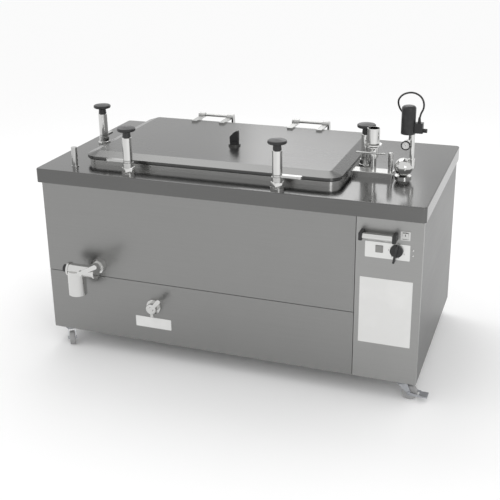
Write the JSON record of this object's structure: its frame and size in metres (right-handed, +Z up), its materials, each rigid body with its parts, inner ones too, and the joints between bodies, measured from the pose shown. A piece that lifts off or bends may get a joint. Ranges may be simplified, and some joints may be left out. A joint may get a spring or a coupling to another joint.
{
  "type": "cooking kettle",
  "caption": "Rectangular steam-jacketed cooking kettle on castors with a clamped hinged lid, front drain valve, jacket filler and a control column at the right.",
  "frame": {"origin": "on the floor, under the centre of the whole part's bounding box", "axes": "+Z up, -Y towards the front with the drain valve, +X to the right towards the control column"},
  "size_m": [1.738, 1.0292, 1.21],
  "materials": {
    "brushed_steel": "fine satin brush on stainless sheet",
    "polished_steel": "polished stainless and plated fittings",
    "frame_steel": "dull stainless tube",
    "element_steel": "dark heat-tinted tube",
    "mineral_wool": "matt fibrous blanket",
    "black_plastic": "moulded, slightly glossy",
    "light_plastic": "pale grey moulded plastic",
    "black_rubber": "smooth matt rubber",
    "grey_rubber": "dull wheel tread",
    "zinc_steel": "zinc-plated pressings",
    "plate_aluminium": "bare satin plate",
    "label_paper": "bare plain sheet",
    "lamp_plastic": "clear white lens"
  },
  "bodies": {
    "kettle": {"worktop": "brushed_steel", "front_panel_upper": "brushed_steel", "front_panel_lower": "brushed_steel", "column_panel": "brushed_steel", "side_panels": "brushed_steel", "back_panel": "brushed_steel", "bottom_panel": "brushed_steel", "base_frame": "frame_steel", "vessel": "brushed_steel", "jacket_shell": "brushed_steel", "insulation": "mineral_wool", "heating_elements": "element_steel", "hinge_brackets": "polished_steel", "clamp_pillars": "polished_steel", "filler_base": "brushed_steel", "filler_tap_body": "polished_steel", "filler_funnel": "polished_steel", "safety_valve": "polished_steel", "pressure_switch": "black_plastic", "switch_lead": "black_rubber", "jacket_vent_posts": "polished_steel", "drain_valve_body": "polished_steel", "tap_body": "polished_steel", "tap_plate": "label_paper", "column_handle": "polished_steel", "control_plate": "plate_aluminium", "indicator_lamp": "lamp_plastic", "info_plate": "label_paper", "switch_bodies": "light_plastic", "castor_plates": "zinc_steel"},
    "lid": {"lid": "brushed_steel", "lid_gasket": "black_rubber", "lid_hinge_arms": "polished_steel"},
    "vent_knob": {"vent_knob": "black_plastic"},
    "clamp_claw_front_left": {"clamp_claw_front_left": "polished_steel"},
    "clamp_sleeve_front_left": {"clamp_sleeve_front_left": "polished_steel"},
    "clamp_knob_front_left": {"clamp_knob_front_left": "black_plastic"},
    "clamp_claw_front_right": {"clamp_claw_front_right": "polished_steel"},
    "clamp_sleeve_front_right": {"clamp_sleeve_front_right": "polished_steel"},
    "clamp_knob_front_right": {"clamp_knob_front_right": "black_plastic"},
    "clamp_claw_left": {"clamp_claw_left": "polished_steel"},
    "clamp_sleeve_left": {"clamp_sleeve_left": "polished_steel"},
    "clamp_knob_left": {"clamp_knob_left": "black_plastic"},
    "clamp_claw_right": {"clamp_claw_right": "polished_steel"},
    "clamp_sleeve_right": {"clamp_sleeve_right": "polished_steel"},
    "clamp_knob_right": {"clamp_knob_right": "black_plastic"},
    "filler_tap_bar": {"filler_tap_bar": "polished_steel"},
    "drain_lever": {"drain_lever": "polished_steel"},
    "tap_lever": {"tap_lever": "polished_steel"},
    "control_knob": {"control_knob": "black_plastic"},
    "rocker_switch": {"rocker_switch": "light_plastic"},
    "castor_fork_front_left": {"castor_fork_front_left": "zinc_steel"},
    "castor_wheel_front_left": {"castor_wheel_front_left": "grey_rubber"},
    "castor_fork_front_right": {"castor_fork_front_right": "zinc_steel"},
    "castor_wheel_front_right": {"castor_wheel_front_right": "grey_rubber"},
    "castor_fork_rear_left": {"castor_fork_rear_left": "zinc_steel"},
    "castor_wheel_rear_left": {"castor_wheel_rear_left": "grey_rubber"},
    "castor_fork_rear_right": {"castor_fork_rear_right": "zinc_steel"},
    "castor_wheel_rear_right": {"castor_wheel_rear_right": "grey_rubber"},
    "castor_brake_pedal": {"castor_brake_pedal": "zinc_steel"}
  },
  "joints": [
    {"name": "lid_hinge", "type": "hinge", "parent": "kettle", "child": "lid", "pos_m": [-0.119, 0.483, 0.915], "axis": [-1, 0, 0], "range_deg": [0, 95]},
    {"name": "vent_turn", "type": "hinge", "parent": "lid", "child": "vent_knob", "pos_m": [-0.097, 0.03, 0.913], "axis": [0, 0, 1], "range_deg": [0, 90]},
    {"name": "claw_turn_front_left", "type": "hinge", "parent": "kettle", "child": "clamp_claw_front_left", "pos_m": [-0.439, -0.339, 0.901], "axis": [0, 0, 1], "range_deg": [-90, 0]},
    {"name": "sleeve_slide_front_left", "type": "slide", "parent": "kettle", "child": "clamp_sleeve_front_left", "axis": [0, 0, 1], "range_m": [0, 0.012]},
    {"name": "knob_turn_front_left", "type": "hinge", "parent": "clamp_sleeve_front_left", "child": "clamp_knob_front_left", "pos_m": [-0.439, -0.339, 1.01], "axis": [0, 0, 1], "range_deg": [0, 1440]},
    {"name": "claw_turn_front_right", "type": "hinge", "parent": "kettle", "child": "clamp_claw_front_right", "pos_m": [0.225, -0.339, 0.901], "axis": [0, 0, -1], "range_deg": [-90, 0]},
    {"name": "sleeve_slide_front_right", "type": "slide", "parent": "kettle", "child": "clamp_sleeve_front_right", "axis": [0, 0, 1], "range_m": [0, 0.012]},
    {"name": "knob_turn_front_right", "type": "hinge", "parent": "clamp_sleeve_front_right", "child": "clamp_knob_front_right", "pos_m": [0.225, -0.339, 1.01], "axis": [0, 0, 1], "range_deg": [0, 1440]},
    {"name": "claw_turn_left", "type": "hinge", "parent": "kettle", "child": "clamp_claw_left", "pos_m": [-0.741, 0.008, 0.901], "axis": [0, 0, 1], "range_deg": [-90, 0]},
    {"name": "sleeve_slide_left", "type": "slide", "parent": "kettle", "child": "clamp_sleeve_left", "axis": [0, 0, 1], "range_m": [0, 0.012]},
    {"name": "knob_turn_left", "type": "hinge", "parent": "clamp_sleeve_left", "child": "clamp_knob_left", "pos_m": [-0.741, 0.008, 1.01], "axis": [0, 0, 1], "range_deg": [0, 1440]},
    {"name": "claw_turn_right", "type": "hinge", "parent": "kettle", "child": "clamp_claw_right", "pos_m": [0.503, 0.008, 0.901], "axis": [0, 0, -1], "range_deg": [-90, 0]},
    {"name": "sleeve_slide_right", "type": "slide", "parent": "kettle", "child": "clamp_sleeve_right", "axis": [0, 0, 1], "range_m": [0, 0.012]},
    {"name": "knob_turn_right", "type": "hinge", "parent": "clamp_sleeve_right", "child": "clamp_knob_right", "pos_m": [0.503, 0.008, 1.01], "axis": [0, 0, 1], "range_deg": [0, 1440]},
    {"name": "filler_tap_turn", "type": "hinge", "parent": "kettle", "child": "filler_tap_bar", "pos_m": [0.548, -0.1015, 0.96], "axis": [0, 1, 0], "range_deg": [0, 90]},
    {"name": "drain_lever_turn", "type": "hinge", "parent": "kettle", "child": "drain_lever", "pos_m": [-0.62, -0.495, 0.43], "axis": [0, 1, 0], "range_deg": [0, 90]},
    {"name": "tap_lever_turn", "type": "hinge", "parent": "kettle", "child": "tap_lever", "pos_m": [-0.329, -0.424, 0.266], "axis": [0, 1, 0], "range_deg": [0, 90]},
    {"name": "control_knob_turn", "type": "hinge", "parent": "kettle", "child": "control_knob", "pos_m": [0.722, -0.38, 0.66], "axis": [0, 1, 0], "range_deg": [-80, 80]},
    {"name": "rocker_tilt", "type": "hinge", "parent": "kettle", "child": "rocker_switch", "pos_m": [0.754, -0.378, 0.725], "axis": [-1, 0, 0], "range_deg": [0, 14]},
    {"name": "castor_swivel_front_left", "type": "hinge", "parent": "kettle", "child": "castor_fork_front_left", "pos_m": [-0.787, -0.34, 0.074], "axis": [0, 0, 1], "continuous": true},
    {"name": "castor_roll_front_left", "type": "hinge", "parent": "castor_fork_front_left", "child": "castor_wheel_front_left", "pos_m": [-0.77004, -0.36714, 0.031], "axis": [0.848, 0.5299, 0], "continuous": true},
    {"name": "castor_swivel_front_right", "type": "hinge", "parent": "kettle", "child": "castor_fork_front_right", "pos_m": [0.763, -0.34, 0.074], "axis": [0, 0, 1], "continuous": true},
    {"name": "castor_roll_front_right", "type": "hinge", "parent": "castor_fork_front_right", "child": "castor_wheel_front_right", "pos_m": [0.795, -0.34, 0.031], "axis": [0, 1, 0], "continuous": true},
    {"name": "castor_swivel_rear_left", "type": "hinge", "parent": "kettle", "child": "castor_fork_rear_left", "pos_m": [-0.787, 0.458, 0.074], "axis": [0, 0, 1], "continuous": true},
    {"name": "castor_roll_rear_left", "type": "hinge", "parent": "castor_fork_rear_left", "child": "castor_wheel_rear_left", "pos_m": [-0.80202, 0.48625, 0.031], "axis": [-0.8829, -0.4695, 0], "continuous": true},
    {"name": "castor_swivel_rear_right", "type": "hinge", "parent": "kettle", "child": "castor_fork_rear_right", "pos_m": [0.763, 0.458, 0.074], "axis": [0, 0, 1], "continuous": true},
    {"name": "castor_roll_rear_right", "type": "hinge", "parent": "castor_fork_rear_right", "child": "castor_wheel_rear_right", "pos_m": [0.77074, 0.48905, 0.031], "axis": [-0.9703, 0.2419, 0], "continuous": true},
    {"name": "brake_pedal_press", "type": "hinge", "parent": "castor_fork_front_right", "child": "castor_brake_pedal", "pos_m": [0.795, -0.34, 0.031], "axis": [0, 1, 0], "range_deg": [0, 10]}
  ],
  "couplings": [
    {"joint": "sleeve_slide_front_left", "follows": "knob_turn_front_left", "m_per_rad": 0.0004774},
    {"joint": "sleeve_slide_front_right", "follows": "knob_turn_front_right", "m_per_rad": 0.0004774},
    {"joint": "sleeve_slide_left", "follows": "knob_turn_left", "m_per_rad": 0.0004774},
    {"joint": "sleeve_slide_right", "follows": "knob_turn_right", "m_per_rad": 0.0004774}
  ]
}
